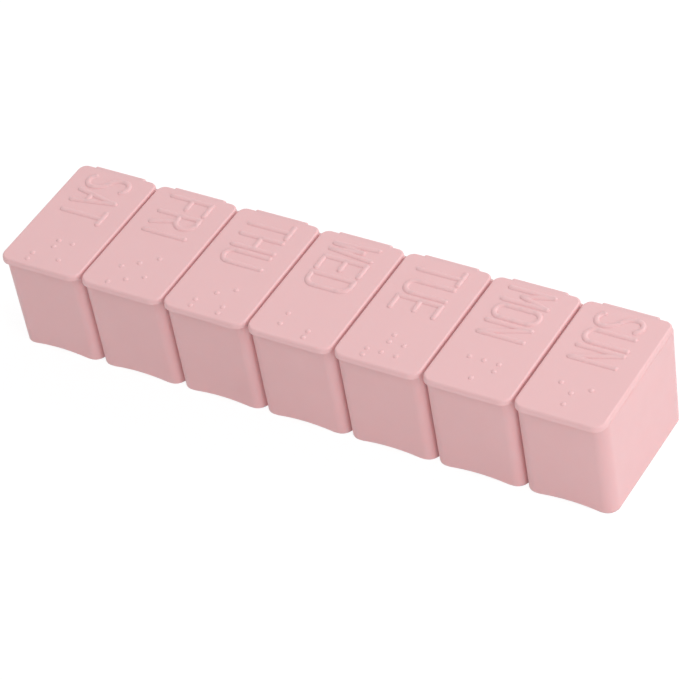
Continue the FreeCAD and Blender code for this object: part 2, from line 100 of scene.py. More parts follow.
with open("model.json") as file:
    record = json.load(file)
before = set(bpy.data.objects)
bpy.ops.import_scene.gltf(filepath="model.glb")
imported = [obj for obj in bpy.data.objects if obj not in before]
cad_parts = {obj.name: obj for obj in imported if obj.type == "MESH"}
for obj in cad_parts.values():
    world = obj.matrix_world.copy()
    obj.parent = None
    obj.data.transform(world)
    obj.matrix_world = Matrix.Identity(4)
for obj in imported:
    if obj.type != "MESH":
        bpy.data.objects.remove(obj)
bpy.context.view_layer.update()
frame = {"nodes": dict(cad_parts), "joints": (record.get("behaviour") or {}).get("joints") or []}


class OrganizerFinish(bpy.types.PropertyGroup):
    """Colours and finish of the plastic and the wire."""
    lid_colour: FloatVectorProperty(
        name="Lid colour", description="Matte pink of the lids, linear",
        subtype="COLOR", size=3, min=0, max=1, default=(0.82, 0.49, 0.50))
    # The tray's pink is the lids' pink made a touch darker: painted shade standing in for the
    # shade on the tray's walls.
    tray_colour_with_painted_shade: FloatVectorProperty(
        name="Tray colour with painted shade", description="Matte pink of the tray, linear",
        subtype="COLOR", size=3, min=0, max=1, default=(0.80, 0.47, 0.48))
    wire_colour: FloatVectorProperty(
        name="Wire colour", description="Drawn steel of the hinge wire, linear",
        subtype="COLOR", size=3, min=0, max=1, default=(0.60, 0.60, 0.61))
    roughness: FloatProperty(
        name="Roughness", description="Mean roughness of the plastic", default=0.52, min=0, max=1)
    gloss_drift: FloatProperty(
        name="Gloss drift", description="How far the roughness strays from its mean",
        default=0.05, min=0, max=1)
    gloss_patch: FloatProperty(
        name="Gloss patch", description="Size of the patches of uneven gloss",
        subtype="DISTANCE", unit="LENGTH", default=5 * MM)
    tint_drift: FloatProperty(
        name="Tint drift", description="Share by which the pigment gets darker and lighter",
        default=0.02, min=0, max=1)
    tint_cloud: FloatProperty(
        name="Tint cloud", description="Size of the clouds in the pigment",
        subtype="DISTANCE", unit="LENGTH", default=14 * MM)
    grain: FloatProperty(
        name="Grain", description="Size of the fine mould texture",
        subtype="DISTANCE", unit="LENGTH", default=0.35 * MM)
    grain_strength: FloatProperty(
        name="Grain strength", description="Strength of the mould texture",
        default=0.25, min=0, max=1)
    grain_depth: FloatProperty(
        name="Grain depth", description="Depth of the mould texture",
        subtype="DISTANCE", unit="LENGTH", default=0.02 * MM)
    lid_glow: FloatProperty(
        name="Lid glow", description="Share of the light that spreads inside the lids",
        default=0.12, min=0, max=1)
    tray_glow: FloatProperty(
        name="Tray glow", description="Share of the light that spreads inside the tray",
        default=0.5, min=0, max=1)
    glow_depth: FloatProperty(
        name="Glow depth", description="How far light spreads in the plastic",
        subtype="DISTANCE", unit="LENGTH", default=0.6 * MM)
    glow_reach: FloatVectorProperty(
        name="Glow reach", description="Share of the glow depth for red, green and blue",
        size=3, min=0, max=1, default=(1.0, 0.45, 0.4))
    refraction: FloatProperty(
        name="Refraction", description="Index of refraction of polypropylene",
        default=1.49)
    shine: FloatProperty(
        name="Shine", description="Level of the plastic's reflections", default=0.8, min=0, max=1)
    sheen: FloatProperty(
        name="Sheen", description="Soft light on edges seen at a slant",
        default=0.15, min=0, max=1)
    sheen_roughness: FloatProperty(
        name="Sheen roughness", description="How widely the soft light spreads",
        default=0.5, min=0, max=1)
    wire_line: FloatProperty(
        name="Wire line", description="Width of the drawing lines on the wire",
        subtype="DISTANCE", unit="LENGTH", default=0.15 * MM)
    wire_stretch: FloatVectorProperty(
        name="Wire stretch", description="Scale of the drawing lines along and across the wire",
        subtype="XYZ", size=3, default=(0.02, 1, 1))
    wire_drift: FloatProperty(
        name="Wire drift", description="Share by which the steel gets darker and lighter",
        default=0.12, min=0, max=1)
    wire_roughness: FloatVectorProperty(
        name="Wire roughness", description="Lowest and highest roughness of the wire",
        size=2, min=0, max=1, default=(0.24, 0.4))


class OrganizerLid(bpy.types.PropertyGroup):
    """Sizes of a lid."""
    thickness: FloatProperty(
        name="Thickness", description="Plate of a lid",
        subtype="DISTANCE", unit="LENGTH", default=1.5 * MM)
    front_corner: FloatProperty(
        name="Front corner", description="Radius of the front corners",
        subtype="DISTANCE", unit="LENGTH", default=3.0 * MM)
    rear_corner: FloatProperty(
        name="Rear corner", description="Radius of the rear corners",
        subtype="DISTANCE", unit="LENGTH", default=2.3 * MM)
    top_round: FloatProperty(
        name="Top edge", description="Rounding of the top edge",
        subtype="DISTANCE", unit="LENGTH", default=0.6 * MM)
    side_lean: FloatProperty(
        name="Side lean", description="Lean of the sides of the plate",
        subtype="ANGLE", default=math.radians(4))
    lip_lean: FloatProperty(
        name="Lip lean", description="Lean of the front of the lip",
        subtype="ANGLE", default=math.radians(8))
    snug: FloatProperty(
        name="Snug", description="How much a plate closes the gap to its neighbour",
        subtype="DISTANCE", unit="LENGTH", default=0.15 * MM)
    low_round: FloatProperty(
        name="Low edge", description="Rounding of the lower edges",
        subtype="DISTANCE", unit="LENGTH", default=0.15 * MM)
    tab_width: FloatProperty(
        name="Tab width", description="Rear tab and knuckle, along the wire",
        subtype="DISTANCE", unit="LENGTH", default=14.6 * MM)
    tab_step: FloatProperty(
        name="Tab step", description="Rear tab behind the rear corners",
        subtype="DISTANCE", unit="LENGTH", default=0.5 * MM)
    tab_corner: FloatProperty(
        name="Tab corner", description="Rounding at the ends of the rear tab and the knuckle",
        subtype="DISTANCE", unit="LENGTH", default=0.4 * MM)
    root: FloatProperty(
        name="Root", description="How far skirt and knuckle reach into the plate",
        subtype="DISTANCE", unit="LENGTH", default=0.3 * MM)
    bore: FloatProperty(
        name="Bore", description="Radius of the bore for the wire",
        subtype="DISTANCE", unit="LENGTH", default=0.65 * MM)
    skirt_side: FloatProperty(
        name="Skirt side", description="Skirt in from the side of the plate",
        subtype="DISTANCE", unit="LENGTH", default=1.55 * MM)
    skirt_lip: FloatProperty(
        name="Skirt lip", description="Skirt behind the lip",
        subtype="DISTANCE", unit="LENGTH", default=2.95 * MM)
    skirt_rear: FloatProperty(
        name="Skirt rear", description="Rear end of the skirt in front of the hinge axis",
        subtype="DISTANCE", unit="LENGTH", default=2.35 * MM)
    skirt_wall: FloatProperty(
        name="Skirt wall", description="Wall of the skirt",
        subtype="DISTANCE", unit="LENGTH", default=1.0 * MM)
    skirt_depth: FloatProperty(
        name="Skirt depth", description="Skirt below the plate",
        subtype="DISTANCE", unit="LENGTH", default=2.0 * MM)
    skirt_corner: FloatProperty(
        name="Skirt corner", description="Radius of the front corners of the skirt",
        subtype="DISTANCE", unit="LENGTH", default=2.15 * MM)
    snap_rise: FloatProperty(
        name="Snap rise", description="Snap rib proud of the skirt",
        subtype="DISTANCE", unit="LENGTH", default=0.15 * MM)
    snap_width: FloatProperty(
        name="Snap width", description="Snap rib up the skirt",
        subtype="DISTANCE", unit="LENGTH", default=0.8 * MM)
    snap_length: FloatProperty(
        name="Snap length", description="Snap rib along the skirt",
        subtype="DISTANCE", unit="LENGTH", default=9.0 * MM)
    relief: FloatProperty(
        name="Relief", description="Height of the letters",
        subtype="DISTANCE", unit="LENGTH", default=0.35 * MM)
    letter_height: FloatProperty(
        name="Letter height", description="Height of the capitals",
        subtype="DISTANCE", unit="LENGTH", default=13.0 * MM)
    letter_width: FloatProperty(
        name="Letter width", description="Width of the capitals",
        subtype="DISTANCE", unit="LENGTH", default=5.7 * MM)
    letter_pitch: FloatProperty(
        name="Letter pitch", description="From one letter to the next",
        subtype="DISTANCE", unit="LENGTH", default=6.05 * MM)
    letter_foot: FloatProperty(
        name="Letter foot", description="Foot line of the letters from the middle of the lid",
        subtype="DISTANCE", unit="LENGTH", default=-6.9 * MM)
    word_margin: FloatProperty(
        name="Word margin", description="Rear tab to the word",
        subtype="DISTANCE", unit="LENGTH", default=2.6 * MM)
    stroke: FloatProperty(
        name="Stroke", description="Width of the strokes of a letter",
        subtype="DISTANCE", unit="LENGTH", default=1.5 * MM)
    dot: FloatProperty(
        name="Dot", description="Width of a raised dot",
        subtype="DISTANCE", unit="LENGTH", default=1.4 * MM)
    dot_relief: FloatProperty(
        name="Dot relief", description="Height of a raised dot",
        subtype="DISTANCE", unit="LENGTH", default=0.25 * MM)
    sunk: FloatProperty(
        name="Sunk", description="Middle of the strokes and dots below the top of the plate",
        subtype="DISTANCE", unit="LENGTH", default=0.12 * MM)


class OrganizerStage(bpy.types.PropertyGroup):
    """Camera, floor and light."""
    azimuth: FloatProperty(
        name="Azimuth", description="Camera round the row from straight in front",
        subtype="ANGLE", default=math.radians(36.18))
    elevation: FloatProperty(
        name="Elevation", description="Camera above the horizon",
        subtype="ANGLE", default=math.radians(41.32))
    roll: FloatProperty(
        name="Roll", description="Camera turned about its own line of sight",
        subtype="ANGLE", default=math.radians(-9.83))
    distance: FloatProperty(
        name="Distance", description="Camera to the point it looks at",
        subtype="DISTANCE", unit="LENGTH", default=0.7677)
    target: FloatVectorProperty(
        name="Target", description="Point that the camera looks at",
        subtype="TRANSLATION", size=3, default=(0.01106, -0.01344, 0.02707))
    lens: FloatProperty(name="Lens", description="Focal length in millimetres", default=175.0)
    floor_size: FloatProperty(
        name="Floor", description="Side of the square floor",
        subtype="DISTANCE", unit="LENGTH", default=6.0)
    sky: FloatProperty(
        name="Sky", description="Strength of the even light all round", default=0.50)
    floor_white: FloatProperty(
        name="Floor white", description="Share of light that the floor throws back",
        default=0.9, min=0, max=1)
    backdrop: FloatProperty(
        name="Backdrop", description="Share of the lit backdrop in the floor that the camera sees",
        default=0.8, min=0, max=1)
    floor_glow: FloatProperty(
        name="Floor glow", description="Light of the lit backdrop where the camera looks",
        default=1.1)
    lamp_size: FloatProperty(
        name="Lamp size", description="Side of the soft lamps",
        subtype="DISTANCE", unit="LENGTH", default=0.45)
    key_power: FloatProperty(
        name="Key light", description="Watts of the soft lamp behind the row", default=3.25)
    key_place: FloatVectorProperty(
        name="Key place", description="Where the lamp behind the row stands",
        subtype="TRANSLATION", size=3, default=(0.26, 0.64, 0.64))
    side_power: FloatProperty(
        name="Side light", description="Watts of the soft lamp beside the row", default=2.75)
    side_place: FloatVectorProperty(
        name="Side place", description="Where the lamp beside the row stands",
        subtype="TRANSLATION", size=3, default=(0.76, -0.30, 0.34))
    front_power: FloatProperty(
        name="Front light", description="Watts of the soft lamp before the row", default=0.95)
    front_place: FloatVectorProperty(
        name="Front place", description="Where the lamp before the row stands",
        subtype="TRANSLATION", size=3, default=(-0.30, -0.42, 0.80))


# ---------------------------------------------------------------- materials

def new_material(name):
    """Empty node material with an output, its shader and object coordinates."""
    material = bpy.data.materials.new(name)
    material.use_nodes = True
    nodes = material.node_tree.nodes
    nodes.clear()
    shader = nodes.new("ShaderNodeBsdfPrincipled")
    output = nodes.new("ShaderNodeOutputMaterial")
    place = nodes.new("ShaderNodeTexCoord")
    material.node_tree.links.new(shader.outputs["BSDF"], output.inputs["Surface"])
    return material, shader, place


def noise(material, place, feature, detail, stretch=(1, 1, 1)):
    """Noise of a feature size in metres, optionally stretched along an axis."""
    tree = material.node_tree
    mapping = tree.nodes.new("ShaderNodeMapping")
    mapping.inputs["Scale"].default_value = stretch
    texture = tree.nodes.new("ShaderNodeTexNoise")
    texture.inputs["Scale"].default_value = 1 / feature
    texture.inputs["Detail"].default_value = detail
    tree.links.new(place.outputs["Object"], mapping.inputs["Vector"])
    tree.links.new(mapping.outputs["Vector"], texture.inputs["Vector"])
    return texture


def between(material, source, low, high):
    """Spreads the middle of a noise, where most of it lies, over a range of values."""
    tree = material.node_tree
    node = tree.nodes.new("ShaderNodeMapRange")
    node.inputs["From Min"].default_value = NOISE_LOW
    node.inputs["From Max"].default_value = NOISE_HIGH
    node.inputs["To Min"].default_value = low
    node.inputs["To Max"].default_value = high
    tree.links.new(source, node.inputs["Value"])
    return node.outputs["Result"]


def tinted(material, factor, colour, drift):
    """Colour that drifts by a small share between darker and lighter."""
    tree = material.node_tree
    mix = tree.nodes.new("ShaderNodeMix")
    mix.data_type = "RGBA"
    mix.inputs["A"].default_value = [c * (1 - drift) for c in colour] + [1]
    mix.inputs["B"].default_value = [min(1, c * (1 + drift)) for c in colour] + [1]
    tree.links.new(factor, mix.inputs["Factor"])
    return mix.outputs["Result"]


def moulded_plastic(name, colour, glow, finish):
    """Matte polypropylene: fine mould texture, cloudy pigment and uneven gloss."""
    material, shader, place = new_material(name)
    tree = material.node_tree
    cloud = noise(material, place, finish.tint_cloud, CLOUD_DETAIL)
    grain = noise(material, place, finish.grain, GRAIN_DETAIL)
    gloss = noise(material, place, finish.gloss_patch, CLOUD_DETAIL)
    tint = tinted(material, cloud.outputs["Fac"], colour, finish.tint_drift)
    tree.links.new(tint, shader.inputs["Base Color"])
    rough = between(material, gloss.outputs["Fac"],
                    finish.roughness - finish.gloss_drift, finish.roughness + finish.gloss_drift)
    tree.links.new(rough, shader.inputs["Roughness"])
    bump = tree.nodes.new("ShaderNodeBump")
    bump.inputs["Strength"].default_value = finish.grain_strength
    bump.inputs["Distance"].default_value = finish.grain_depth
    tree.links.new(grain.outputs["Fac"], bump.inputs["Height"])
    tree.links.new(bump.outputs["Normal"], shader.inputs["Normal"])
    for socket, value in (("Subsurface Weight", glow), ("Subsurface Radius", finish.glow_reach),
                          ("Subsurface Scale", finish.glow_depth), ("IOR", finish.refraction),
                          ("Specular IOR Level", finish.shine), ("Sheen Weight", finish.sheen),
                          ("Sheen Roughness", finish.sheen_roughness)):
        shader.inputs[socket].default_value = value
    return material


def drawn_steel(name, finish):
    """Drawn steel wire: fine lines along its length."""
    material, shader, place = new_material(name)
    tree = material.node_tree
    lines = noise(material, place, finish.wire_line, CLOUD_DETAIL, stretch=finish.wire_stretch)
    tint = tinted(material, lines.outputs["Fac"], finish.wire_colour, finish.wire_drift)
    rough = between(material, lines.outputs["Fac"], *finish.wire_roughness)
    tree.links.new(tint, shader.inputs["Base Color"])
    tree.links.new(rough, shader.inputs["Roughness"])
    shader.inputs["Metallic"].default_value = 1
    return material


# ---------------------------------------------------------------- shapes

def arc(centre, radius, start, finish, steps=ARC_STEPS):
    """Points on an arc from one angle to another, in degrees."""
    points = []
    for step in range(steps + 1):
        turn = math.radians(start + (finish - start) * step / steps)
        points.append((centre[0] + radius * math.cos(turn), centre[1] + radius * math.sin(turn)))
    return points


def arc_through(start, middle, finish):
    """Points on the arc that goes through three points."""
    first, second = middle - start, finish - start
    cross = 2 * (first.x * second.y - first.y * second.x)
    across = (second.y * first.length_squared - first.y * second.length_squared) / cross
    up = (first.x * second.length_squared - second.x * first.length_squared) / cross
    centre = start + Vector((across, up))
    begin = math.degrees(math.atan2(start.y - centre.y, start.x - centre.x))
    ends = math.degrees(math.atan2(finish.y - centre.y, finish.x - centre.x))
    sweep = (ends - begin) % 360 if cross > 0 else -((begin - ends) % 360)
    return [Vector(p) for p in arc(centre, (start - centre).length, begin, begin + sweep)]


def rounding(radius, steps):
    """(inset, rise) pairs of a quarter circle, from upright to level."""
    turns = [math.pi / 2 * step / steps for step in range(steps + 1)]
    return [(radius * (1 - math.cos(turn)), radius * math.sin(turn)) for turn in turns]


def closed_outline(right, left):
    """Outline from its right half and from its left half, which is given mirrored in x."""
    return right + [(-x, y) for x, y in reversed(left)]


def add_stack(shape, rings, closed=False):
    """Skin through rings of equally many points, capped at both ends or closed on itself."""
    loops = [[shape.verts.new(point) for point in ring] for ring in rings]
    count = len(loops[0])
    pairs = list(zip(loops, loops[1:]))
    if closed:
        pairs.append((loops[-1], loops[0]))
    else:
        shape.faces.new(reversed(loops[0]))
        shape.faces.new(loops[-1])
    for low, high in pairs:
        for here in range(count):
            there = (here + 1) % count
            shape.faces.new((low[here], low[there], high[there], high[here]))


def finished(name, mesh, add_modifier):
    """Plain piece at the origin with the modifier's result as its own mesh."""
    rough = bpy.data.objects.new(name + "_rough", mesh)
    bpy.context.scene.collection.objects.link(rough)
    add_modifier(rough)
    graph = bpy.context.evaluated_depsgraph_get()
    result = bpy.data.meshes.new_from_object(rough.evaluated_get(graph))
    bpy.data.objects.remove(rough)
    result.name = name
    piece = bpy.data.objects.new(name, result)
    bpy.context.scene.collection.objects.link(piece)
    return piece


def even_shading(piece):
    """Smooth across roundings, flat on the large faces."""
    modifier = piece.modifiers.new("shading", "WEIGHTED_NORMAL")
    modifier.keep_sharp = True


# ---------------------------------------------------------------- lids

class LidPlaces:
    """Where one lid is, read from the frame and from the lid sizes."""

    def __init__(self, day, sizes):
        low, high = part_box("lid_" + day)
        hinge = [joint for joint in frame["joints"] if joint["child"] == "lid_" + day][0]
        left_end, right_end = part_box("tray")
        self.middle = (low.x + high.x) / 2
        self.half = (high.x - low.x) / 2
        # From the middle to the left and to the right side of the plate. A side closes a little
        # of the gap to its neighbour, and never stands out over an end of the tray.
        self.sides = (self.middle - max(low.x - sizes.snug, left_end.x),
                      min(high.x + sizes.snug, right_end.x) - self.middle)
        self.lip = low.y
        self.tab = high.y
        self.top = high.z - sizes.relief
        self.under = self.top - sizes.thickness
        self.axis = Vector(hinge["pos_m"])


def edge_inset(sizes, lean, drop):
    """How far in a leaning side of the plate is at a depth below the top, against its foot."""
    radius = sizes.top_round
    foot = sizes.thickness - sizes.low_round
    bend = radius * (1 - math.sin(lean))
    if drop > bend:
        return (foot - drop) * math.tan(lean)
    round_part = radius * math.cos(lean) - math.sqrt(radius ** 2 - (radius - drop) ** 2)
    return (foot - bend) * math.tan(lean) + round_part


def plate_outline(lid, sizes, side_inset, lip_inset):
    """Plan of the plate, set in at its sides and at its lip."""
    bend = sizes.front_corner
    rear = lid.tab - sizes.tab_step - sizes.rear_corner
    left, right = [
        [(half - bend + (bend - side_inset) * x, lid.lip + bend + (bend - lip_inset) * y)
         for x, y in arc((0, 0), 1, -90, 0)]
        + arc((half - sizes.rear_corner, rear), sizes.rear_corner - side_inset, 0, 90)
        for half in lid.sides]
    return closed_outline(right, left)


def add_plate(shape, lid, sizes):
    """Plate with its lip, rounded all round."""
    levels = [(inset, inset, lid.under + sizes.low_round - rise)
              for inset, rise in reversed(rounding(sizes.low_round, LOW_STEPS))]
    for step in range(TOP_STEPS + 1):
        turn = sizes.side_lean + (math.pi / 2 - sizes.side_lean) * step / TOP_STEPS
        drop = sizes.top_round * (1 - math.sin(turn))
        levels.append((edge_inset(sizes, sizes.side_lean, drop),
                       edge_inset(sizes, sizes.lip_lean, drop), lid.top - drop))
    add_stack(shape, [[(lid.middle + x, y, level)
                       for x, y in plate_outline(lid, sizes, side_inset, lip_inset)]
                      for side_inset, lip_inset, level in levels])


def add_skirt(shape, lid, sizes):
    """Locating skirt, a wall round three sides under the plate, with its snap rib."""
    half = lid.half - sizes.skirt_side
    front = lid.lip + sizes.skirt_lip
    rear = lid.axis.y - sizes.skirt_rear
    bend = sizes.skirt_corner
    spot = (half - bend, front + bend)
    tip = lid.under - sizes.skirt_depth
    levels = [(0, lid.under + sizes.root)]
    levels += [(inset, tip + sizes.low_round - rise)
               for inset, rise in rounding(sizes.low_round, LOW_STEPS)]
    rings = []
    for inset, level in levels:
        right = arc(spot, bend - inset, -90, 0)
        right += [(half - inset, rear - inset), (half - sizes.skirt_wall + inset, rear - inset)]
        right += arc(spot, bend - sizes.skirt_wall + inset, 0, -90)
        rings.append([(lid.middle + x, y, level) for x, y in closed_outline(right, right)])
    add_stack(shape, rings)

    middle = lid.under - sizes.skirt_depth / 2
    spread = sizes.snap_width / 2
    rib = [(front + sizes.snap_rise, middle - spread), (front + sizes.snap_rise, middle + spread)]
    rib += [(front - sizes.snap_rise * x, middle + spread * y)
            for x, y in arc((0, 0), 1, 90, -90, RIB_STEPS)]
    add_stack(shape, [[(lid.middle + side * sizes.snap_length / 2, y, z) for y, z in rib]
                      for side in (-1, 1)])


def add_knuckle(shape, lid, sizes):
    """Rear tab and the knuckle under it, with the bore that the wire runs through."""
    centre = Vector((lid.axis.y, lid.axis.z))
    reach = lid.tab - centre.x
    root = lid.under + sizes.root
    seam = lid.tab - sizes.tab_step - edge_inset(sizes, sizes.side_lean, 0)
    crest = (lid.tab - sizes.top_round, lid.top - sizes.top_round)

    def hoop(inset):
        """Outline of the tab and the knuckle in a plane across the wire."""
        return [(seam, lid.top - inset), *arc(crest, sizes.top_round - inset, 90, 0, TOP_STEPS),
                *arc(centre, reach - inset, 0, -180, HOOP_STEPS),
                (centre.x - reach + inset, root), (seam, root)]

    hole = [centre + (Vector(spot) - centre).normalized() * sizes.bore for spot in hoop(0)]
    end = sizes.tab_width / 2
    right = [(end - sizes.tab_corner + rise, hoop(inset))
             for inset, rise in rounding(sizes.tab_corner, TAB_STEPS)]
    left = [(-x, ring) for x, ring in reversed(right)]
    rings = [[(lid.middle + x, y, z) for y, z in ring]
             for x, ring in (*left, *right, (end, hole), (-end, hole))]
    add_stack(shape, rings, closed=True)


def make_lid_shell(day, sizes):
    """Plate, skirt and knuckle of one lid."""
    lid = LidPlaces(day, sizes)
    shape = bmesh.new()
    for add in (add_plate, add_skirt, add_knuckle):
        add(shape, lid, sizes)
    bmesh.ops.recalc_face_normals(shape, faces=shape.faces)
    mesh = bpy.data.meshes.new("lid_%s_shell" % day)
    shape.to_mesh(mesh)
    shape.free()
    mesh.shade_smooth()
    mesh.set_sharp_from_angle(angle=SHARP_EDGE)
    return finished("lid_%s_shell" % day, mesh, even_shading)


# ---------------------------------------------------------------- relief

def relief_paths(day, sizes):
    """Centre lines of a lid's letters, places of its dots, and the level of both."""
    lid = LidPlaces(day, sizes)
    stroke = sizes.stroke
    span = sizes.letter_width - stroke
    rise = sizes.letter_height - stroke
    chains = []
    for place, letter in enumerate(day.upper()):
        foot = Vector((lid.middle + sizes.letter_foot + stroke / 2,
                       lid.tab - sizes.word_margin - place * sizes.letter_pitch - stroke / 2))
        for points in LETTERS[letter]:
            here = foot + Vector((points[0][1] * rise, -points[0][0] * span))
            for step in points[1:]:
                spots = [foot + Vector((up * rise, -across * span))
                         for across, up in zip(step[::2], step[1::2])]
                straight = len(spots) == 1
                chains.append([here, spots[0]] if straight else arc_through(here, *spots))
                here = spots[-1]
    dots = [Vector((lid.middle + DOT_ROWS[row] * MM, lid.lip + DOT_COLUMNS[column] * MM))
            for row, columns in DOTS[day].items() for column in columns]
    return chains, dots, lid.top - sizes.sunk


def relief_mesh(day, sizes):
    """Wire mesh of the letters' centre lines, with a loose point for each dot."""
    chains, dots, level = relief_paths(day, sizes)
    points, edges = [], []
    for chain in chains:
        first = len(points)
        points += [(spot.x, spot.y, level) for spot in chain]
        edges += [(first + step, first + step + 1) for step in range(len(chain) - 1)]
    points += [(spot.x, spot.y, level) for spot in dots]
    mesh = bpy.data.meshes.new("lid_%s_lines" % day)
    mesh.from_pydata(points, edges, [])
    return mesh


def halved(tree, value):
    """Half of a width."""
    half = tree.nodes.new("ShaderNodeMath")
    half.operation = "MULTIPLY"
    half.inputs[1].default_value = 0.5
    tree.links.new(value, half.inputs[0])
    return half.outputs[0]


def add_domes(tree, points, width, height):
    """Half-sunk flattened balls on points."""
    half = halved(tree, width)
    size = tree.nodes.new("ShaderNodeCombineXYZ")
    for axis, value in zip("XYZ", (half, half, height)):
        tree.links.new(value, size.inputs[axis])
    ball = tree.nodes.new("GeometryNodeMeshUVSphere")
    ball.inputs["Segments"].default_value = DOME_SEGMENTS
    ball.inputs["Rings"].default_value = DOME_RINGS
    ball.inputs["Radius"].default_value = 1
    place = tree.nodes.new("GeometryNodeInstanceOnPoints")
    tree.links.new(points, place.inputs["Points"])
    tree.links.new(ball.outputs["Mesh"], place.inputs["Instance"])
    tree.links.new(size.outputs["Vector"], place.inputs["Scale"])
    return place.outputs["Instances"]


def points_with(tree, mesh, neighbours):
    """Points of the mesh that have so many neighbours, each once."""
    count = tree.nodes.new("GeometryNodeInputMeshVertexNeighbors")
    equal = tree.nodes.new("FunctionNodeCompare")
    equal.data_type = "INT"
    equal.operation = "EQUAL"
    equal.inputs["B"].default_value = neighbours
    points = tree.nodes.new("GeometryNodeMeshToPoints")
    single = tree.nodes.new("GeometryNodeMergeByDistance")
    single.inputs["Distance"].default_value = SAME_SPOT
    tree.links.new(count.outputs["Vertex Count"], equal.inputs["A"])
    tree.links.new(mesh, points.inputs["Mesh"])
    tree.links.new(equal.outputs["Result"], points.inputs["Selection"])
    tree.links.new(points.outputs["Points"], single.inputs["Geometry"])
    return single.outputs["Geometry"]


def relief_tree():
    """Raised ridges along centre lines, with round ends and joints, and raised dots."""
    tree = bpy.data.node_groups.new("raised_relief", "GeometryNodeTree")
    tree.interface.new_socket("Lines", in_out="INPUT", socket_type="NodeSocketGeometry")
    for name in ("Stroke", "Stroke height", "Dot", "Dot height"):
        socket = tree.interface.new_socket(name, in_out="INPUT", socket_type="NodeSocketFloat")
        socket.subtype = "DISTANCE"
    tree.interface.new_socket("Material", in_out="INPUT", socket_type="NodeSocketMaterial")
    tree.interface.new_socket("Relief", in_out="OUTPUT", socket_type="NodeSocketGeometry")
    given = tree.nodes.new("NodeGroupInput")
    lines, stroke, height, dot, dot_height = given.outputs[:5]

    curve = tree.nodes.new("GeometryNodeMeshToCurve")
    upright = tree.nodes.new("GeometryNodeSetCurveNormal")
    upright.mode = "Z_UP"
    section = tree.nodes.new("GeometryNodeCurvePrimitiveCircle")
    section.inputs["Resolution"].default_value = SECTION_STEPS
    section.inputs["Radius"].default_value = 1
    size = tree.nodes.new("ShaderNodeCombineXYZ")
    flatten = tree.nodes.new("GeometryNodeTransform")
    sweep = tree.nodes.new("GeometryNodeCurveToMesh")
    sweep.inputs["Fill Caps"].default_value = True
    tree.links.new(lines, curve.inputs["Mesh"])
    tree.links.new(curve.outputs["Curve"], upright.inputs["Curve"])
    tree.links.new(halved(tree, stroke), size.inputs["X"])
    tree.links.new(height, size.inputs["Y"])
    tree.links.new(section.outputs["Curve"], flatten.inputs["Geometry"])
    tree.links.new(size.outputs["Vector"], flatten.inputs["Scale"])
    tree.links.new(upright.outputs["Curve"], sweep.inputs["Curve"])
    tree.links.new(flatten.outputs["Geometry"], sweep.inputs["Profile Curve"])

    joined = tree.nodes.new("GeometryNodeJoinGeometry")
    tree.links.new(sweep.outputs["Mesh"], joined.inputs["Geometry"])
    tree.links.new(add_domes(tree, points_with(tree, lines, 1), stroke, height),
                   joined.inputs["Geometry"])
    tree.links.new(add_domes(tree, points_with(tree, lines, 0), dot, dot_height),
                   joined.inputs["Geometry"])
    realize = tree.nodes.new("GeometryNodeRealizeInstances")
    smooth = tree.nodes.new("GeometryNodeSetShadeSmooth")
    paint = tree.nodes.new("GeometryNodeSetMaterial")
    result = tree.nodes.new("NodeGroupOutput")
    tree.links.new(joined.outputs["Geometry"], realize.inputs["Geometry"])
    tree.links.new(realize.outputs["Geometry"], smooth.inputs["Geometry"])
    tree.links.new(smooth.outputs["Geometry"], paint.inputs["Geometry"])
    tree.links.new(given.outputs["Material"], paint.inputs["Material"])
    tree.links.new(paint.outputs["Geometry"], result.inputs["Relief"])
    return tree


def make_relief(day, sizes, tree, plastic):
    """Raised name and dots of one lid."""
    values = {"Material": plastic}
    # A section is sunk, so its middle is made wide enough to show its width at the plate's top.
    for name, width, rise in (("Stroke", sizes.stroke, sizes.relief),
                              ("Dot", sizes.dot, sizes.dot_relief)):
        height = rise + sizes.sunk
        values[name] = width / math.sqrt(1 - (sizes.sunk / height) ** 2)
        values[name + " height"] = height

    def raise_lines(piece):
        modifier = piece.modifiers.new("relief", "NODES")
        modifier.node_group = tree
        for socket in tree.interface.items_tree:
            if socket.in_out == "INPUT" and socket.name in values:
                modifier[socket.identifier] = values[socket.name]

    return finished("lid_%s_relief" % day, relief_mesh(day, sizes), raise_lines)


class PILLBOX_OT_lids(bpy.types.Operator):
    """Make the seven lids, each with its raised name and dots"""
    bl_idname = "pillbox.lids"
    bl_label = "Lids"

    def execute(self, context):
        sizes = context.scene.pill_lid
        finish = context.scene.pill_finish
        plastic = moulded_plastic("lid_plastic", finish.lid_colour, finish.lid_glow, finish)
        tree = relief_tree()
        for day in DAYS:
            shell = make_lid_shell(day, sizes)
            shell.data.materials.append(plastic)
            for piece in (shell, make_relief(day, sizes, tree, plastic)):
                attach(piece, "lid_" + day)
                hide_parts("lid_" + day)
        return {"FINISHED"}


class PILLBOX_OT_tray(bpy.types.Operator):
    """Finish the tray"""
    bl_idname = "pillbox.tray"
    bl_label = "Tray"

    def execute(self, context):
        finish = context.scene.pill_finish
        # Tray plastic in the darker pink, whose extra darkness is painted shade for the tray's
        # walls.
        plastic = moulded_plastic("tray_plastic", finish.tray_colour_with_painted_shade, finish.tray_glow, finish)
        frame["nodes"]["tray"].material_slots[0].material = plastic
        return {"FINISHED"}


class PILLBOX_OT_wire(bpy.types.Operator):
    """Dress the hinge wire"""
    bl_idname = "pillbox.wire"
    bl_label = "Hinge wire"

    def execute(self, context):
        steel = drawn_steel("wire_steel", context.scene.pill_finish)
        frame["nodes"]["hinge_wire"].material_slots[0].material = steel
        return {"FINISHED"}


# ---------------------------------------------------------------- stage

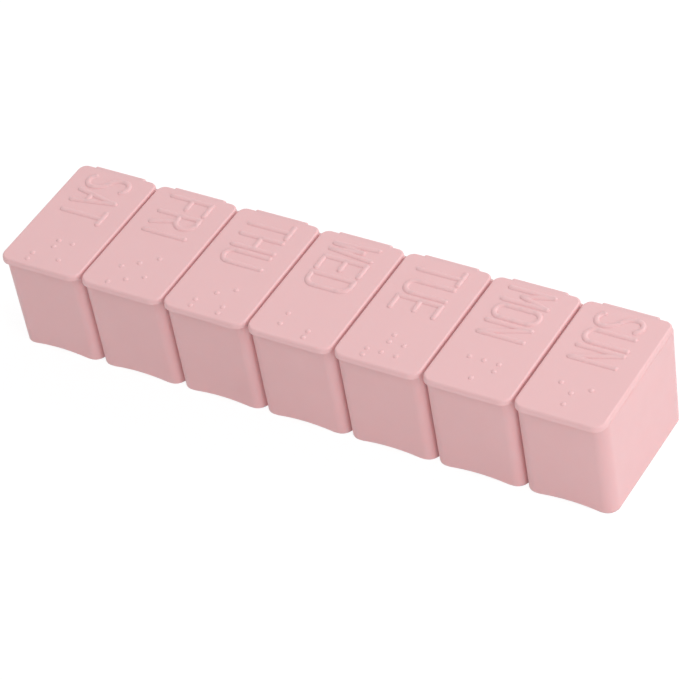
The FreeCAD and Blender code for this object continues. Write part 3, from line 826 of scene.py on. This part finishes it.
def camera_only(tree, plain, bright):
    """Mix of two shaders: the bright one where the camera, a mirror or a glass looks."""
    path = tree.nodes.new("ShaderNodeLightPath")
    seen = path.outputs["Is Camera Ray"]
    for ray in ("Is Glossy Ray", "Is Transmission Ray"):
        either = tree.nodes.new("ShaderNodeMath")
        either.operation = "MAXIMUM"
        tree.links.new(seen, either.inputs[0])
        tree.links.new(path.outputs[ray], either.inputs[1])
        seen = either.outputs["Value"]
    mix = tree.nodes.new("ShaderNodeMixShader")
    tree.links.new(seen, mix.inputs["Fac"])
    tree.links.new(plain.outputs[0], mix.inputs[1])
    tree.links.new(bright.outputs[0], mix.inputs[2])
    return mix


def make_world(stage):
    """Even light all round, white where the camera looks."""
    world = bpy.data.worlds.new("studio")
    world.use_nodes = True
    tree = world.node_tree
    tree.nodes.clear()
    light = tree.nodes.new("ShaderNodeBackground")
    light.inputs["Strength"].default_value = stage.sky
    white = tree.nodes.new("ShaderNodeBackground")
    for node in (light, white):
        node.inputs["Color"].default_value = WHITE
    output = tree.nodes.new("ShaderNodeOutputWorld")
    mix = camera_only(tree, light, white)
    tree.links.new(mix.outputs["Shader"], output.inputs["Surface"])
    bpy.context.scene.world = world


def make_floor(stage):
    """White floor under the feet, which keeps a pale shadow."""
    half = stage.floor_size / 2
    mesh = bpy.data.meshes.new("floor")
    corners = [(-half, -half, 0), (half, -half, 0), (half, half, 0), (-half, half, 0)]
    mesh.from_pydata(corners, [], [(0, 1, 2, 3)])
    floor = bpy.data.objects.new("floor", mesh)
    bpy.context.scene.collection.objects.link(floor)
    material = bpy.data.materials.new("floor_white")
    material.use_nodes = True
    tree = material.node_tree
    tree.nodes.clear()
    paper = tree.nodes.new("ShaderNodeBsdfDiffuse")
    paper.inputs["Color"].default_value = (*[stage.floor_white] * 3, 1)
    glow = tree.nodes.new("ShaderNodeEmission")
    glow.inputs["Color"].default_value = WHITE
    glow.inputs["Strength"].default_value = stage.floor_glow
    backdrop = tree.nodes.new("ShaderNodeMixShader")
    backdrop.inputs["Fac"].default_value = stage.backdrop
    tree.links.new(paper.outputs[0], backdrop.inputs[1])
    tree.links.new(glow.outputs[0], backdrop.inputs[2])
    output = tree.nodes.new("ShaderNodeOutputMaterial")
    mix = camera_only(tree, paper, backdrop)
    tree.links.new(mix.outputs["Shader"], output.inputs["Surface"])
    mesh.materials.append(material)


def make_lamp(name, power, size, place):
    """Square soft lamp that looks at the row."""
    data = bpy.data.lights.new(name, "AREA")
    data.energy = power
    data.size = size
    lamp = bpy.data.objects.new(name, data)
    lamp.location = place
    lamp.rotation_mode = "QUATERNION"
    lamp.rotation_quaternion = (-Vector(place)).to_track_quat("-Z", "Y")
    bpy.context.scene.collection.objects.link(lamp)


def make_camera(stage):
    """Long lens, looking down on the row from the Sunday end."""
    data = bpy.data.cameras.new("camera")
    data.lens = stage.lens
    data.sensor_width = SENSOR_WIDTH
    camera = bpy.data.objects.new("camera", data)
    camera.matrix_world = (
        Matrix.Translation(stage.target)
        @ Matrix.Rotation(stage.azimuth, 4, "Z")
        @ Matrix.Rotation(math.pi / 2 - stage.elevation, 4, "X")
        @ Matrix.Rotation(stage.roll, 4, "Z")
        @ Matrix.Translation((0, 0, stage.distance)))
    bpy.context.scene.collection.objects.link(camera)
    bpy.context.scene.camera = camera


class PILLBOX_OT_stage(bpy.types.Operator):
    """Make the floor, the light and the camera"""
    bl_idname = "pillbox.stage"
    bl_label = "Stage"

    def execute(self, context):
        stage = context.scene.pill_stage
        context.scene.view_settings.view_transform = "Standard"
        make_world(stage)
        make_floor(stage)
        for name, power, place in (("key", stage.key_power, stage.key_place),
                                   ("side", stage.side_power, stage.side_place),
                                   ("front", stage.front_power, stage.front_place)):
            make_lamp(name, power, stage.lamp_size, place)
        make_camera(stage)
        return {"FINISHED"}


class PILLBOX_PT_panel(bpy.types.Panel):
    """Sizes, colours and steps of the organizer"""
    bl_idname = "PILLBOX_PT_panel"
    bl_label = "Pill Organizer"
    bl_space_type = "VIEW_3D"
    bl_region_type = "UI"
    bl_category = "Pill Organizer"

    def draw(self, context):
        for group in (context.scene.pill_finish, context.scene.pill_lid, context.scene.pill_stage):
            box = self.layout.box()
            for name in group.__annotations__:
                box.prop(group, name)
        for operator in OPERATORS:
            self.layout.operator(operator.bl_idname)


GROUPS = {
    "pill_finish": OrganizerFinish,
    "pill_lid": OrganizerLid,
    "pill_stage": OrganizerStage,
}
OPERATORS = (PILLBOX_OT_stage, PILLBOX_OT_tray, PILLBOX_OT_wire, PILLBOX_OT_lids)


def register():
    for group in GROUPS.values():
        bpy.utils.register_class(group)
    for name, group in GROUPS.items():
        setattr(bpy.types.Scene, name, PointerProperty(type=group))
    for operator in OPERATORS:
        bpy.utils.register_class(operator)
    bpy.utils.register_class(PILLBOX_PT_panel)


def unregister():
    bpy.utils.unregister_class(PILLBOX_PT_panel)
    for operator in reversed(OPERATORS):
        bpy.utils.unregister_class(operator)
    for name, group in GROUPS.items():
        delattr(bpy.types.Scene, name)
        bpy.utils.unregister_class(group)


def main():
    """Registers the add-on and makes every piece."""
    register()
    bpy.ops.pillbox.stage()
    bpy.ops.pillbox.tray()
    bpy.ops.pillbox.wire()
    bpy.ops.pillbox.lids()


if __name__ == "__main__":
    main()
